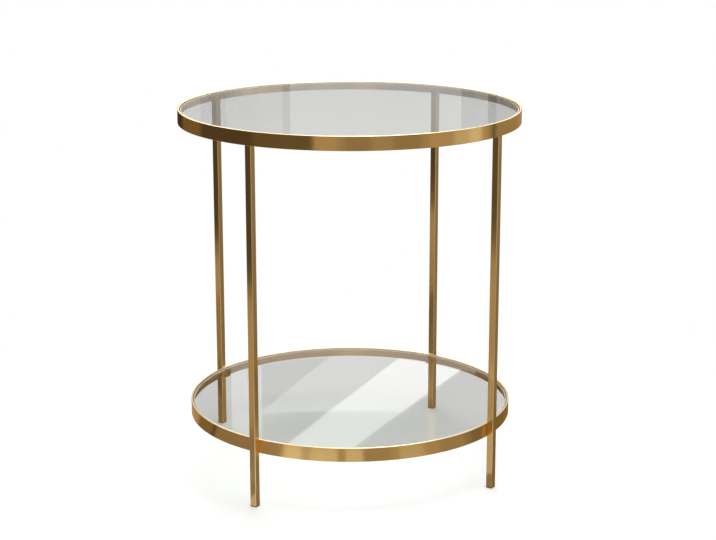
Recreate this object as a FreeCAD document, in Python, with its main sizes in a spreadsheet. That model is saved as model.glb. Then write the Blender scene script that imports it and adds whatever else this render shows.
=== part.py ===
import FreeCAD, Part

import os

import Sketcher
from FreeCAD import Vector

# Two-tier round side table.
#
# Two polished hoops, rolled from flat bar, are carried by four slim square tubes, and each hoop
# holds a loose glass disc on clear bumpers.  The top hoop stands on the tubes' upper ends; the
# smaller shelf hoop stands between the tubes, low down.
#
# The origin is on the floor under the middle of the table.  +Z is up and the front is -Y.
# What repeats at the legs is drawn as if its leg stood on +X, and is then turned to its corner.
# All sizes are in millimetres and all angles in degrees.

# Each driving size: its name, its value and what it measures.
DRIVING_SIZES = [
    ("top_diameter", 500.0, "across the outside of the top hoop"),
    ("shelf_height", 79.0, "floor to the underside of the shelf hoop"),
    ("leg_angle", 45.0, "direction of the rear right leg, from +X"),
    ("leg_length", 517.5, "square tube, end to end"),
    ("leg_width", 10.0, "across the flats of the square tube"),
    ("leg_wall", 1.0, "wall of the square tube"),
    ("leg_corner", 1.0, "outside corner radius of the square tube"),
    ("tube_clearance", 0.1, "between the tube's bore and what is pushed into it, on each side"),
    ("hoop_height", 20.0, "height of the flat bar"),
    ("hoop_thickness", 3.0, "thickness of the flat bar"),
    ("hoop_edge", 0.5, "radius on the long edges of the flat bar"),
    ("glass_thickness", 8.0, "thickness of both glass discs"),
    ("glass_gap", 1.0, "between a glass disc and its hoop, all round"),
    ("glass_setback", 0.5, "top face of the glass below the hoop's rim"),
    ("glass_arris", 1.2, "bevel ground on both edges of the glass"),
    ("lift_clearance", 3.5, "by which the shelf glass passes the rests inside the top hoop"),
    ("bumper_diameter", 5.0, "clear bumper under the glass"),
    ("bumper_thickness", 1.0, "height of a bumper"),
    ("bumper_edge", 0.3, "radius on the upper edge of a bumper"),
    ("top_rest_height", 5.5, "glass rest welded inside the top hoop"),
    ("shelf_rest_depth", 6.0, "reach of the glass rest welded inside the shelf hoop"),
    ("rest_edge", 0.6, "radius on the inner upright edges of a glass rest"),
    ("shank_length", 22.0, "part of a leg bracket that is brazed into the tube"),
    ("lead_in", 0.8, "chamfer on the end of what is pushed into a tube"),
    ("bush_diameter", 6.0, "threaded bush in the leg, outside"),
    ("bush_end_gap", 1.5, "between the bush and the far wall of the tube"),
    ("foot_flange", 1.5, "foot under the end of the tube"),
    ("foot_stem", 12.0, "foot inside the tube"),
    ("foot_chamfer", 0.5, "chamfer round the foot's sole"),
    ("screw_diameter", 3.0, "thread of all screws"),
    ("screw_head", 6.0, "across the countersunk head"),
    ("screw_land", 0.35, "straight rim of the countersunk head"),
    ("screw_point", 0.4, "chamfer on the screw's end"),
    ("screw_end_gap", 0.5, "between a screw's end and the bottom of its thread"),
    ("socket_width", 2.0, "hexagon socket across flats"),
    ("socket_depth", 1.2, "depth of the hexagon socket"),
    ("shaft_clearance", 0.25, "round a screw where it passes through freely"),
    ("head_clearance", 0.1, "round a countersunk head"),
    ("thread_clearance", 0.05, "round a screw in its thread"),
    ("bush_clearance", 0.05, "round the bush in the tube's wall"),
]

# Each size that follows from others: its name, its formula and what it measures.
FOLLOWING_SIZES = [
    ("top_outer", "top_diameter / 2", "outside radius of the top hoop"),
    ("top_inner", "top_outer - hoop_thickness", "inside radius of the top hoop"),
    ("leg_inner", "top_outer - leg_width", "inner face of a leg"),
    ("shelf_outer", "leg_inner", "outside radius of the shelf hoop, which touches the legs"),
    ("shelf_inner", "shelf_outer - hoop_thickness", "inside radius of the shelf hoop"),
    ("top_glass_radius", "top_inner - glass_gap", "radius of the top glass"),
    ("shelf_glass_radius", "shelf_inner - glass_gap", "radius of the shelf glass"),
    ("half_leg", "leg_width / 2", "from a leg's middle to its flat"),
    ("leg_middle", "top_outer - half_leg", "from the table's axis to a leg's middle"),
    ("half_bore", "half_leg - leg_wall", "from a leg's middle to its bore"),
    ("half_plug", "half_bore - tube_clearance", "from a leg's middle to the side of a plug in it"),
    ("leg_top", "foot_flange + leg_length", "floor to the underside of the top hoop"),
    ("top_rim", "leg_top + hoop_height", "floor to the rim of the top hoop"),
    ("top_glass_base", "top_rim - glass_setback - glass_thickness", "underside of the top glass"),
    ("top_rest_top", "top_glass_base - bumper_thickness", "seat of the top bumpers"),
    ("top_rest_base", "top_rest_top - top_rest_height", "where the top rests stand on the brackets"),
    ("top_rest_tip", "shelf_glass_radius + lift_clearance", "inner end of a top rest"),
    ("top_screw_place", "(top_inner + top_rest_tip) / 2", "axis of a top screw, from the middle"),
    ("shelf_rim", "shelf_height + hoop_height", "floor to the rim of the shelf hoop"),
    ("shelf_glass_base", "shelf_rim - glass_setback - glass_thickness", "underside of the shelf glass"),
    ("shelf_rest_top", "shelf_glass_base - bumper_thickness", "seat of the shelf bumpers"),
    ("shelf_rest_tip", "shelf_inner - shelf_rest_depth", "inner end of a shelf rest"),
    ("shelf_bumper_place", "shelf_inner - shelf_rest_depth / 2", "middle of a shelf bumper"),
    ("shelf_screw_height", "(shelf_height + shelf_rest_top) / 2", "axis of a shelf screw"),
    ("bush_length", "leg_width - leg_wall - bush_end_gap", "threaded bush, end to end"),
    ("top_screw_length", "top_rest_top - leg_top - screw_end_gap", "top screw with its head"),
    ("shelf_screw_length", "shelf_rest_depth + hoop_thickness + bush_length - screw_end_gap",
     "shelf screw with its head"),
    ("head_radius", "screw_head / 2", "countersunk head"),
    ("shaft_radius", "screw_diameter / 2", "screw's shaft"),
    ("cone_end", "screw_land + head_radius - shaft_radius", "head's height, with a 90 degree cone"),
    ("sink_radius", "head_radius + head_clearance", "countersink at its mouth"),
    ("hole_radius", "shaft_radius + shaft_clearance", "clearance hole"),
    ("sink_end", "screw_land + sink_radius - hole_radius", "countersink's depth"),
    ("thread_radius", "shaft_radius + thread_clearance", "threaded hole"),
    ("bush_seat_radius", "bush_diameter / 2 + bush_clearance", "hole in the tube for the bush"),
]

# The legs' corners, each with its turn from the rear right leg.
CORNERS = {"rear_right": 0, "rear_left": 90, "front_left": 180, "front_right": 270}
FULL_TURN = 360

PARTS_FOLDER = "parts"

document = FreeCAD.newDocument("side_table")
sheet = document.addObject("Spreadsheet::Sheet", "Size")
nodes = []


# ---------------------------------------------------------------- the sheet of sizes

def fill_sheet():
    """Write each size into its own row, with its name as the cell's alias."""
    rows = [(name, str(value), note) for name, value, note in DRIVING_SIZES]
    rows += [(name, "=" + formula, note) for name, formula, note in FOLLOWING_SIZES]
    for row, (name, content, note) in enumerate(rows, start=1):
        sheet.set(f"A{row}", name)
        sheet.set(f"B{row}", content)
        sheet.set(f"C{row}", note)
        sheet.setAlias(f"B{row}", name)
    document.recompute()


def measure(expression):
    """Present value of an expression of the sheet's sizes."""
    return float(sheet.evalExpression(expression))


# ---------------------------------------------------------------- bodies and sketches

def new_node(name, turn=None):
    """Body for one node; a turn sets it at its corner, counted from the rear right leg."""
    body = document.addObject("PartDesign::Body", name)
    body.Label = name
    body.AllowCompound = True
    if turn is not None:
        body.Placement = FreeCAD.Placement(Vector(), Vector(0, 0, 1), measure("Size.leg_angle") + turn)
        body.setExpression("Placement.Rotation.Angle", f"Size.leg_angle + {turn}")
    nodes.append(body)
    return body


def origin_feature(body, role):
    """The body's own origin plane or axis with this role."""
    return next(item for item in body.Origin.OriginFeatures if item.Role == role)


def new_sketch(body, name, plane, offset=None):
    """Sketch on an origin plane, or at an offset along the plane's normal."""
    sketch = body.newObject("Sketcher::SketchObject", name)
    sketch.AttachmentSupport = [(origin_feature(body, plane), "")]
    sketch.MapMode = "FlatFace"
    if offset:
        sketch.setExpression("AttachmentOffset.Base.z", offset)
    return sketch


def dimension(sketch, name, kind, place, expression):
    """Driving dimension of a sketch, bound to the sheet."""
    index = sketch.addConstraint(Sketcher.Constraint(kind, *place, measure(expression)))
    sketch.renameConstraint(index, name)
    sketch.setExpression("Constraints." + name, expression)


def locate(sketch, name, item, point, across, up):
    """Place a point of the sketch's geometry, measured from the sketch's origin."""
    dimension(sketch, name + "_across", "DistanceX", (-1, 1, item, point), across)
    dimension(sketch, name + "_up", "DistanceY", (-1, 1, item, point), up)


def draw_outline(sketch, corners):
    """Closed outline of straight lines; each corner is a pair of expressions, across and up."""
    points = [Vector(measure(across), measure(up), 0) for across, up in corners]
    ends = points[1:] + points[:1]
    count = len(points)
    for start, end in zip(points, ends):
        sketch.addGeometry(Part.LineSegment(start, end))
    for item in range(count):
        sketch.addConstraint(Sketcher.Constraint("Coincident", item, 2, (item + 1) % count, 1))
    for item, (across, up) in enumerate(corners):
        locate(sketch, f"corner_{item}", item, 1, across, up)


def draw_circle(sketch, name, across, up, radius):
    """Circle with its centre placed by two expressions."""
    centre = Vector(measure(across), measure(up), 0)
    item = sketch.addGeometry(Part.Circle(centre, Vector(0, 0, 1), measure(radius)))
    locate(sketch, name, item, 3, across, up)
    dimension(sketch, name + "_radius", "Radius", (item,), radius)


def draw_hexagon(sketch, across, up, flats):
    """Regular hexagon with two corners level with its centre, sized across its flats."""
    centre = Vector(measure(across), measure(up), 0)
    radius = measure(f"{flats} / (2 * cos(30 deg))")
    turn = FreeCAD.Rotation(Vector(0, 0, 1), 60)
    spoke = Vector(radius, 0, 0)
    for item in range(6):
        next_spoke = turn.multVec(spoke)
        sketch.addGeometry(Part.LineSegment(centre + spoke, centre + next_spoke))
        spoke = next_spoke
    circle = sketch.addGeometry(Part.Circle(centre, Vector(0, 0, 1), radius), True)
    for item in range(6):
        sketch.addConstraint(Sketcher.Constraint("Coincident", item, 2, (item + 1) % 6, 1))
        sketch.addConstraint(Sketcher.Constraint("PointOnObject", item, 1, circle))
    for item in range(1, 5):
        sketch.addConstraint(Sketcher.Constraint("Equal", 0, item))
    sketch.addConstraint(Sketcher.Constraint("Horizontal", circle, 3, 0, 1))
    locate(sketch, "centre", circle, 3, across, up)
    dimension(sketch, "corner_radius", "Radius", (circle,), f"{flats} / (2 * cos(30 deg))")


def draw_rest(sketch, tip, hoop_radius):
    """Outline of a glass rest: as wide as a leg, and curved where it meets the hoop's inside."""
    half = measure("Size.half_leg")
    radius = measure(hoop_radius)
    reach = (radius ** 2 - half ** 2) ** 0.5
    inner_right = Vector(measure(tip), -half, 0)
    inner_left = Vector(measure(tip), half, 0)
    outer_left = Vector(reach, half, 0)
    outer_right = Vector(reach, -half, 0)
    arc = Part.Arc(outer_right, Vector(radius, 0, 0), outer_left)
    sketch.addGeometry(Part.LineSegment(outer_left, inner_left))
    sketch.addGeometry(Part.LineSegment(inner_left, inner_right))
    sketch.addGeometry(Part.LineSegment(inner_right, outer_right))
    sketch.addGeometry(arc)
    sketch.addConstraint(Sketcher.Constraint("Coincident", 0, 2, 1, 1))
    sketch.addConstraint(Sketcher.Constraint("Coincident", 1, 2, 2, 1))
    sketch.addConstraint(Sketcher.Constraint("Coincident", 2, 2, 3, 1))
    sketch.addConstraint(Sketcher.Constraint("Coincident", 3, 2, 0, 1))
    sketch.addConstraint(Sketcher.Constraint("Horizontal", 0))
    sketch.addConstraint(Sketcher.Constraint("Horizontal", 2))
    sketch.addConstraint(Sketcher.Constraint("Coincident", 3, 3, -1, 1))
    locate(sketch, "inner_left", 1, 1, tip, "Size.half_leg")
    locate(sketch, "inner_right", 1, 2, tip, "-Size.half_leg")
    dimension(sketch, "hoop_radius", "Radius", (3,), hoop_radius)


def draw_turned(sketch, axis, start, steps, upright):
    """Half outline of a turned shape and its axis; steps are pairs of distance from the start, radius.

    An upright shape runs down from its start, and a level one runs outwards from it.
    """
    corners = []
    for distance, radius in steps:
        if upright:
            corners.append((f"{axis} + {radius}", f"{start} - ({distance})"))
        else:
            corners.append((f"{start} + ({distance})", f"{axis} + {radius}"))
    draw_outline(sketch, corners)
    first = sketch.getPoint(0, 1)
    last = sketch.getPoint(len(steps) - 1, 1)
    line = sketch.addGeometry(Part.LineSegment(first, last), True)
    sketch.addConstraint(Sketcher.Constraint("Coincident", line, 1, 0, 1))
    sketch.addConstraint(Sketcher.Constraint("Coincident", line, 2, len(steps) - 1, 1))


# ---------------------------------------------------------------- features

def pad(body, name, sketch, length):
    """Solid raised from a sketch along its normal."""
    feature = body.newObject("PartDesign::Pad", name)
    feature.Profile = sketch
    feature.setExpression("Length", length)
    document.recompute()
    return feature


def revolve(body, name, sketch, axis):
    """Solid turned from a sketch about one of its axes."""
    feature = body.newObject("PartDesign::Revolution", name)
    feature.Profile = sketch
    feature.ReferenceAxis = (sketch, [axis])
    feature.Angle = FULL_TURN
    document.recompute()
    return feature


def check_cut(body, volume, name):
    """Stop if a cutting feature has taken nothing away."""
    if body.Shape.Volume >= volume:
        raise RuntimeError(f"{body.Label}: {name} cuts nothing")


def pocket(body, name, sketch, length, outwards=False):
    """Cut from a sketch against its normal, or along it when it runs outwards."""
    volume = body.Shape.Volume
    feature = body.newObject("PartDesign::Pocket", name)
    feature.Profile = sketch
    feature.Reversed = outwards
    feature.setExpression("Length", length)
    document.recompute()
    check_cut(body, volume, name)
    return feature


def groove(body, name, sketch, axis):
    """Cut turned from a sketch about one of its axes."""
    volume = body.Shape.Volume
    feature = body.newObject("PartDesign::Groove", name)
    feature.Profile = sketch
    feature.ReferenceAxis = (sketch, [axis])
    feature.Angle = FULL_TURN
    document.recompute()
    check_cut(body, volume, name)
    return feature


def repeat_at_legs(body, name, features):
    """Repeat features about the table's axis, once for each leg."""
    pattern = body.newObject("PartDesign::PolarPattern", name)
    pattern.Originals = features
    pattern.Axis = (origin_feature(body, "Z_Axis"), [""])
    pattern.Angle = FULL_TURN
    pattern.Occurrences = len(CORNERS)
    body.Tip = pattern
    document.recompute()
    return pattern


def pick_edges(shape, wanted):
    """Names of the shape's edges that the test accepts."""
    return [f"Edge{number}" for number, edge in enumerate(shape.Edges, start=1) if wanted(edge)]


def round_edges(body, name, base, wanted, radius):
    """Fillet on the edges of a feature that the test accepts."""
    feature = body.newObject("PartDesign::Fillet", name)
    feature.Base = (base, pick_edges(base.Shape, wanted))
    feature.setExpression("Radius", radius)
    document.recompute()
    return feature


def bevel_edges(body, name, base, wanted, size):
    """Chamfer on the edges of a feature that the test accepts."""
    feature = body.newObject("PartDesign::Chamfer", name)
    feature.Base = (base, pick_edges(base.Shape, wanted))
    feature.setExpression("Size", size)
    document.recompute()
    return feature


def is_circle(edge):
    """True for an edge that is part of a circle."""
    return isinstance(edge.Curve, Part.Circle)


def is_upright(edge):
    """True for a straight edge along Z."""
    return isinstance(edge.Curve, Part.Line) and abs(edge.Curve.Direction.z) > 0.99


def at_height(height):
    """Test for edges that lie level at this height."""
    level = measure(height)
    tolerance = 1e-4
    return lambda edge: (abs(edge.BoundBox.ZMin - level) < tolerance
                         and abs(edge.BoundBox.ZMax - level) < tolerance)


# ---------------------------------------------------------------- hoops and glass

def make_hoop(name, inner, outer, base, turn=None):
    """Hoop of flat bar on edge, with its four long edges eased."""
    body = new_node(name, turn)
    sketch = new_sketch(body, "bar_section", "XZ_Plane")
    top = f"{base} + Size.hoop_height"
    draw_outline(sketch, [(inner, base), (outer, base), (outer, top), (inner, top)])
    ring = revolve(body, "bar", sketch, "V_Axis")
    round_edges(body, "eased_edges", ring, is_circle, "Size.hoop_edge")
    return body


def make_shelf_hoop():
    """Shelf hoop, drilled through at each leg for the screw that holds it."""
    body = make_hoop("shelf_hoop", "Size.shelf_inner", "Size.shelf_outer", "Size.shelf_height", turn=0)
    sketch = new_sketch(body, "screw_hole", "YZ_Plane", "Size.shelf_bumper_place")
    draw_circle(sketch, "hole", "0", "Size.shelf_screw_height", "Size.hole_radius")
    hole = pocket(body, "hole", sketch, "Size.leg_middle - Size.shelf_bumper_place", outwards=True)
    repeat_at_legs(body, "holes", [hole])


def make_glass(name, radius, base):
    """Round glass with a ground bevel on both edges."""
    body = new_node(name)
    sketch = new_sketch(body, "disc", "XY_Plane", base)
    draw_circle(sketch, "edge", "0", "0", radius)
    disc = pad(body, "glass", sketch, "Size.glass_thickness")
    bevel_edges(body, "arris", disc, is_circle, "Size.glass_arris")


# ---------------------------------------------------------------- legs

def draw_square(sketch, half):
    """Square round a leg's middle."""
    near = f"Size.leg_middle - {half}"
    far = f"Size.leg_middle + {half}"
    draw_outline(sketch, [(near, f"-{half}"), (far, f"-{half}"), (far, half), (near, half)])


def make_leg(corner, turn):
    """Square tube with a hole in its inner face for the threaded bush."""
    body = new_node("leg_" + corner, turn)
    section = new_sketch(body, "tube_section", "XY_Plane", "Size.foot_flange")
    draw_square(section, "Size.half_leg")
    bar = pad(body, "bar", section, "Size.leg_length")
    round_edges(body, "corners", bar, is_upright, "Size.leg_corner")
    bore = new_sketch(body, "bore_section", "XY_Plane", "Size.leg_top")
    draw_square(bore, "Size.half_bore")
    pocket(body, "bore", bore, "Size.leg_length")
    seat = new_sketch(body, "bush_seat", "YZ_Plane", "Size.leg_inner")
    draw_circle(seat, "seat", "0", "Size.shelf_screw_height", "Size.bush_seat_radius")
    pocket(body, "seat", seat, "Size.leg_wall", outwards=True)


def make_leg_bracket(corner, turn):
    """Bracket at a leg's top: its shank fills the tube and its head takes the top screw."""
    body = new_node("leg_bracket_" + corner, turn)
    section = new_sketch(body, "head_section", "XY_Plane", "Size.leg_top")
    draw_rest(section, "Size.top_rest_tip", "Size.top_inner")
    pad(body, "head", section, "Size.top_rest_base - Size.leg_top")
    shank_section = new_sketch(body, "shank_section", "XY_Plane", "Size.leg_top - Size.shank_length")
    draw_square(shank_section, "Size.half_plug")
    shank = pad(body, "shank", shank_section, "Size.shank_length")
    bevel_edges(body, "point", shank, at_height("Size.leg_top - Size.shank_length"), "Size.lead_in")
    thread = new_sketch(body, "thread", "XY_Plane", "Size.top_rest_base")
    draw_circle(thread, "thread", "Size.top_screw_place", "0", "Size.thread_radius")
    pocket(body, "threaded_hole", thread, "Size.top_rest_base - Size.leg_top")


def make_leg_bush(corner, turn):
    """Threaded bush set in the leg's inner face, level with the shelf screw."""
    body = new_node("leg_bush_" + corner, turn)
    section = new_sketch(body, "section", "YZ_Plane", "Size.leg_inner")
    draw_circle(section, "outside", "0", "Size.shelf_screw_height", "Size.bush_diameter / 2")
    draw_circle(section, "thread", "0", "Size.shelf_screw_height", "Size.thread_radius")
    pad(body, "bush", section, "Size.bush_length")


def make_foot(corner, turn):
    """Moulded foot: a thin flange under the tube and a stem inside it."""
    body = new_node("foot_" + corner, turn)
    sole = new_sketch(body, "flange_section", "XY_Plane")
    draw_square(sole, "Size.half_leg")
    flange = pad(body, "flange", sole, "Size.foot_flange")
    bevel_edges(body, "sole", flange, at_height("0"), "Size.foot_chamfer")
    section = new_sketch(body, "stem_section", "XY_Plane", "Size.foot_flange")
    draw_square(section, "Size.half_plug")
    stem = pad(body, "stem", section, "Size.foot_stem")
    bevel_edges(body, "point", stem, at_height("Size.foot_flange + Size.foot_stem"), "Size.lead_in")


# ---------------------------------------------------------------- glass rests and bumpers

SINK_STEPS = [("0", "0"), ("0", "Size.sink_radius"), ("Size.screw_land", "Size.sink_radius"),
              ("Size.sink_end", "Size.hole_radius")]


def make_top_rest(corner, turn):
    """Rest welded inside the top hoop, countersunk for the screw into the leg bracket."""
    body = new_node("top_rest_" + corner, turn)
    section = new_sketch(body, "section", "XY_Plane", "Size.top_rest_base")
    draw_rest(section, "Size.top_rest_tip", "Size.top_inner")
    pad(body, "block", section, "Size.top_rest_height")
    sink = new_sketch(body, "countersink_section", "XZ_Plane")
    depth = "Size.top_rest_height"
    steps = SINK_STEPS + [(depth, "Size.hole_radius"), (depth, "0")]
    draw_turned(sink, "Size.top_screw_place", "Size.top_rest_top", steps, upright=True)
    cut = groove(body, "countersink", sink, "Axis0")
    ease_rest(body, cut, "Size.top_rest_tip")


def make_shelf_rest(corner, turn):
    """Rest welded inside the shelf hoop, countersunk for the screw into the leg."""
    body = new_node("shelf_rest_" + corner, turn)
    section = new_sketch(body, "section", "XY_Plane", "Size.shelf_height")
    draw_rest(section, "Size.shelf_rest_tip", "Size.shelf_inner")
    pad(body, "block", section, "Size.shelf_rest_top - Size.shelf_height")
    sink = new_sketch(body, "countersink_section", "XZ_Plane")
    depth = "Size.shelf_rest_depth"
    steps = SINK_STEPS + [(depth, "Size.hole_radius"), (depth, "0")]
    draw_turned(sink, "Size.shelf_screw_height", "Size.shelf_rest_tip", steps, upright=False)
    cut = groove(body, "countersink", sink, "Axis0")
    ease_rest(body, cut, "Size.shelf_rest_tip")


def ease_rest(body, base, tip):
    """Round the two upright edges at the inner end of a rest."""
    inner_end = measure(tip)
    tolerance = 1e-4

    def at_inner_end(edge):
        return is_upright(edge) and abs(edge.CenterOfMass.x - inner_end) < tolerance

    round_edges(body, "eased_corners", base, at_inner_end, "Size.rest_edge")


def make_bumper(name, turn, place, seat):
    """Clear bumper between a rest and the glass."""
    body = new_node(name, turn)
    section = new_sketch(body, "section", "XY_Plane", seat)
    draw_circle(section, "edge", place, "0", "Size.bumper_diameter / 2")
    disc = pad(body, "disc", section, "Size.bumper_thickness")
    top_edge = at_height(f"{seat} + Size.bumper_thickness")
    round_edges(body, "eased_edge", disc, top_edge, "Size.bumper_edge")


# ---------------------------------------------------------------- screws

def screw_steps(length):
    """Outline of a countersunk screw from the middle of its head to its end."""
    return [("0", "0"), ("0", "Size.head_radius"), ("Size.screw_land", "Size.head_radius"),
            ("Size.cone_end", "Size.shaft_radius"),
            (f"{length} - Size.screw_point", "Size.shaft_radius"),
            (length, "Size.shaft_radius - Size.screw_point"), (length, "0")]


def make_top_screws():
    """Four upright screws that join the top hoop's rests to the leg brackets."""
    body = new_node("top_screws", turn=0)
    section = new_sketch(body, "section", "XZ_Plane")
    steps = screw_steps("Size.top_screw_length")
    draw_turned(section, "Size.top_screw_place", "Size.top_rest_top", steps, upright=True)
    screw = revolve(body, "screw", section, "Axis0")
    socket = new_sketch(body, "socket_section", "XY_Plane", "Size.top_rest_top")
    draw_hexagon(socket, "Size.top_screw_place", "0", "Size.socket_width")
    hollow = pocket(body, "socket", socket, "Size.socket_depth")
    repeat_at_legs(body, "set_of_screws", [screw, hollow])


def make_shelf_screws():
    """Four level screws that join the shelf hoop to the bushes in the legs."""
    body = new_node("shelf_screws", turn=0)
    section = new_sketch(body, "section", "XZ_Plane")
    steps = screw_steps("Size.shelf_screw_length")
    draw_turned(section, "Size.shelf_screw_height", "Size.shelf_rest_tip", steps, upright=False)
    screw = revolve(body, "screw", section, "Axis0")
    socket = new_sketch(body, "socket_section", "YZ_Plane", "Size.shelf_rest_tip")
    draw_hexagon(socket, "0", "Size.shelf_screw_height", "Size.socket_width")
    hollow = pocket(body, "socket", socket, "Size.socket_depth", outwards=True)
    repeat_at_legs(body, "set_of_screws", [screw, hollow])


# ---------------------------------------------------------------- the table

def make_table():
    """Every piece of the table, in its place."""
    make_hoop("top_hoop", "Size.top_inner", "Size.top_outer", "Size.leg_top")
    make_shelf_hoop()
    make_glass("top_glass", "Size.top_glass_radius", "Size.top_glass_base")
    make_glass("shelf_glass", "Size.shelf_glass_radius", "Size.shelf_glass_base")
    for corner, turn in CORNERS.items():
        make_leg(corner, turn)
        make_leg_bracket(corner, turn)
        make_leg_bush(corner, turn)
        make_foot(corner, turn)
        make_top_rest(corner, turn)
        make_shelf_rest(corner, turn)
        make_bumper("top_bumper_" + corner, turn, "Size.top_screw_place", "Size.top_rest_top")
        make_bumper("shelf_bumper_" + corner, turn, "Size.shelf_bumper_place", "Size.shelf_rest_top")
    make_top_screws()
    make_shelf_screws()


def check_document():
    """Stop if any object failed to compute, or any node has no valid solid."""
    for item in document.Objects:
        if {"Invalid", "Error"} & set(item.State):
            raise RuntimeError(f"{item.Label}: {item.State}")
    for body in nodes:
        if body.Shape.isNull() or not body.Shape.isValid() or not body.Shape.Solids:
            raise RuntimeError(f"{body.Label}: no valid solid")


def write_parts():
    """Write each node to its own file, named after the node."""
    os.makedirs(PARTS_FOLDER, exist_ok=True)
    for body in nodes:
        body.Shape.exportStep(os.path.join(PARTS_FOLDER, body.Label + ".step"))


fill_sheet()
make_table()
document.recompute()
check_document()
write_parts()
print(len(nodes), "nodes written")
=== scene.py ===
"""Tiered side table: two brass hoops on four slim square legs, with a loose clear glass disc in each hoop.

Lengths are in metres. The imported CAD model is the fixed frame, and every piece here is built in its place.
"""

import math

import bmesh
import bpy
from mathutils import Matrix, Vector


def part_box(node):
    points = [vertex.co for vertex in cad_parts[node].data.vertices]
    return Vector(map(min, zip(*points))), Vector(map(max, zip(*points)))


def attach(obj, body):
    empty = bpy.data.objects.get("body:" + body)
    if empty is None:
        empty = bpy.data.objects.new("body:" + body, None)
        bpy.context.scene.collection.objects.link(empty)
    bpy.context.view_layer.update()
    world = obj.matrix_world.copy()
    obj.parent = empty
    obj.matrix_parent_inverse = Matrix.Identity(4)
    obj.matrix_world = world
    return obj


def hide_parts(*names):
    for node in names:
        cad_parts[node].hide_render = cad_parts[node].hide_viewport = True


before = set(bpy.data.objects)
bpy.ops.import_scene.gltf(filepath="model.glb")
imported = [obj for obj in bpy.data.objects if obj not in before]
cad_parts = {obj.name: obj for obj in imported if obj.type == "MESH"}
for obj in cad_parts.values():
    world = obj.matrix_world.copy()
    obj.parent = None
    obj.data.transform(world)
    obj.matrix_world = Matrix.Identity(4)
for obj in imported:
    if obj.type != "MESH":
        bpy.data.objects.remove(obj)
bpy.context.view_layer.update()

bl_info = {
    "name": "Tiered Side Table",
    "version": (1, 0, 0),
    "blender": (4, 5, 0),
    "location": "View3D > Sidebar > Side Table",
    "description": "Builds a round glass side table with two tiers, piece by piece, around its CAD frame",
    "category": "Add Mesh",
}

CORNERS = ("rear_right", "rear_left", "front_left", "front_right")
TIERS = ("top", "shelf")
SEAM = 1e-6

FRAME_BODY = "frame"
TOP_BODY = "top_glass_disc"
SHELF_BODY = "shelf_glass_disc"

# How far a piece's box may be from its CAD node's box.
PLACE_TOLERANCE = 0.0009

# Brushed lines for each metre across the grain, and along it on a hoop and on a leg.
GRAIN_ACROSS = 2600.0
GRAIN_ROUND_HOOP = 14.0
GRAIN_UP_LEG = 10.0
FILED_GRAIN = 1800.0

# Steps round the table's large rings.
HOOP_STEPS = 512
DISC_STEPS = 384

# Free space round a screw in its hole, and round its head.
HOLE_CLEARANCE = 0.00005
HEAD_CLEARANCE = 0.0001

# Tones of the reflection cards.
TONES = {
    "night": (0.05, 0.045, 0.04),
    "dark": (0.09, 0.07, 0.06),
    "shade": (0.14, 0.11, 0.08),
    "umber": (0.21, 0.16, 0.12),
    "wood": (0.25, 0.21, 0.15),
    "stone": (0.30, 0.28, 0.24),
    "clay": (0.34, 0.29, 0.24),
    "linen": (0.42, 0.37, 0.31),
    "mist": (0.46, 0.45, 0.44),
    "sand": (0.52, 0.45, 0.36),
    "pale": (0.68, 0.66, 0.62),
    "day": (0.84, 0.84, 0.86),
    "sun": (1.0, 1.0, 1.0),
    "fold_deep": (0.18, 0.18, 0.17),
    "fold_dark": (0.30, 0.30, 0.29),
    "fold_soft": (0.39, 0.39, 0.375),
    "fold_middle": (0.49, 0.49, 0.47),
    "fold_light": (0.57, 0.57, 0.55),
    "beam_low": (0.80, 0.80, 0.77),
    "beam": (1.10, 1.10, 1.06),
}

# Rows of upright cards: from height, to height, first angle, and each card's last angle and tone.
# Angle 0 is the table's front, and 90 its right.
WALL_ROWS = (
    (0.0, 0.62, -175, (
        (-148, "night"), (-118, "umber"), (-72, "dark"), (-33, "shade"), (-19, "sand"), (-14, "linen"),
        (1, "clay"), (14, "linen"), (31, "clay"), (37, "linen"), (54, "sand"), (66, "pale"), (77, "day"),
        (84, "sand"),
    )),
    (0.27, 0.62, 84, ((87, "linen"), (91, "night"), (125, "linen"))),
    (0.0, 0.27, 84, ((125, "stone"),)),
    (0.0, 0.62, 125, ((150, "linen"),)),
    (0.0, 0.45, 150, ((185, "clay"),)),
    (0.45, 0.70, 150, ((185, "dark"),)),
    (0.62, 1.15, -60, ((146, "mist"),)),
    (0.62, 1.15, 190, ((300, "mist"),)),
    # The folds of a curtain, for the top glass.
    (0.70, 0.88, 146, (
        (154.6, "fold_dark"), (155.4, "fold_deep"), (157.9, "fold_soft"), (173.9, "fold_light"),
        (174.6, "fold_soft"), (177.1, "fold_middle"), (177.5, "fold_deep"), (178.4, "fold_middle"),
        (179, "fold_dark"), (182.3, "fold_soft"), (190, "fold_middle"),
    )),
)

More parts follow.
